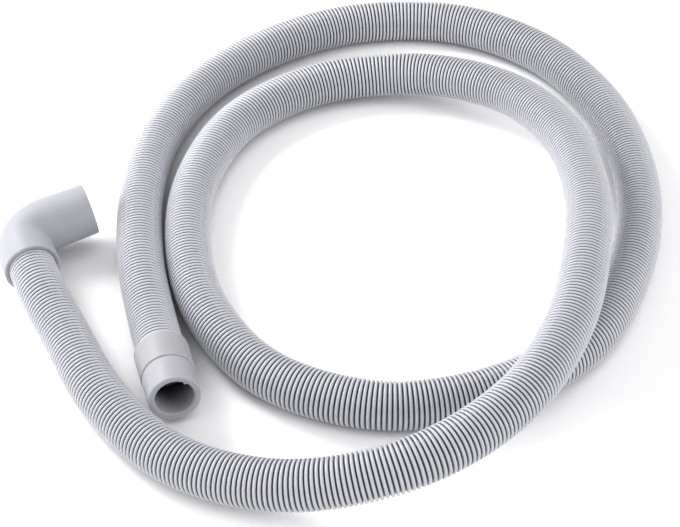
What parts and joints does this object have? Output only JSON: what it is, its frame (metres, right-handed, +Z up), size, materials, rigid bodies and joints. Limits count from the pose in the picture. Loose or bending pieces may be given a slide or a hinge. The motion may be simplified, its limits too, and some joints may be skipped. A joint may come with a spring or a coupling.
{
  "type": "washing machine drain hose",
  "caption": "Corrugated plastic drain hose lying in overlapping loops, with a right-angled elbow cuff moulded on one end and a stepped straight cuff on the other.",
  "frame": {"origin": "on the floor, under the middle of the box round the two end cuffs", "axes": "+Z up from the floor that the hose lies on, -Y the way the straight cuff opens in plan, +X towards the loops"},
  "size_m": [0.4196, 0.4668, 0.0568],
  "materials": {
    "hose_plastic": "light cool grey extruded corrugated hose, satin, with wide smooth crests and narrow dark grooves",
    "elbow_plastic": "light grey moulded flexible plastic with a faint violet tint, soft satin",
    "straight_cuff_plastic": "light grey moulded flexible plastic, soft satin"
  },
  "bodies": {
    "root": {"hose": "hose_plastic", "hose_tail": "hose_plastic", "elbow_cuff": "elbow_plastic", "straight_cuff": "straight_cuff_plastic"}
  },
  "joints": []
}
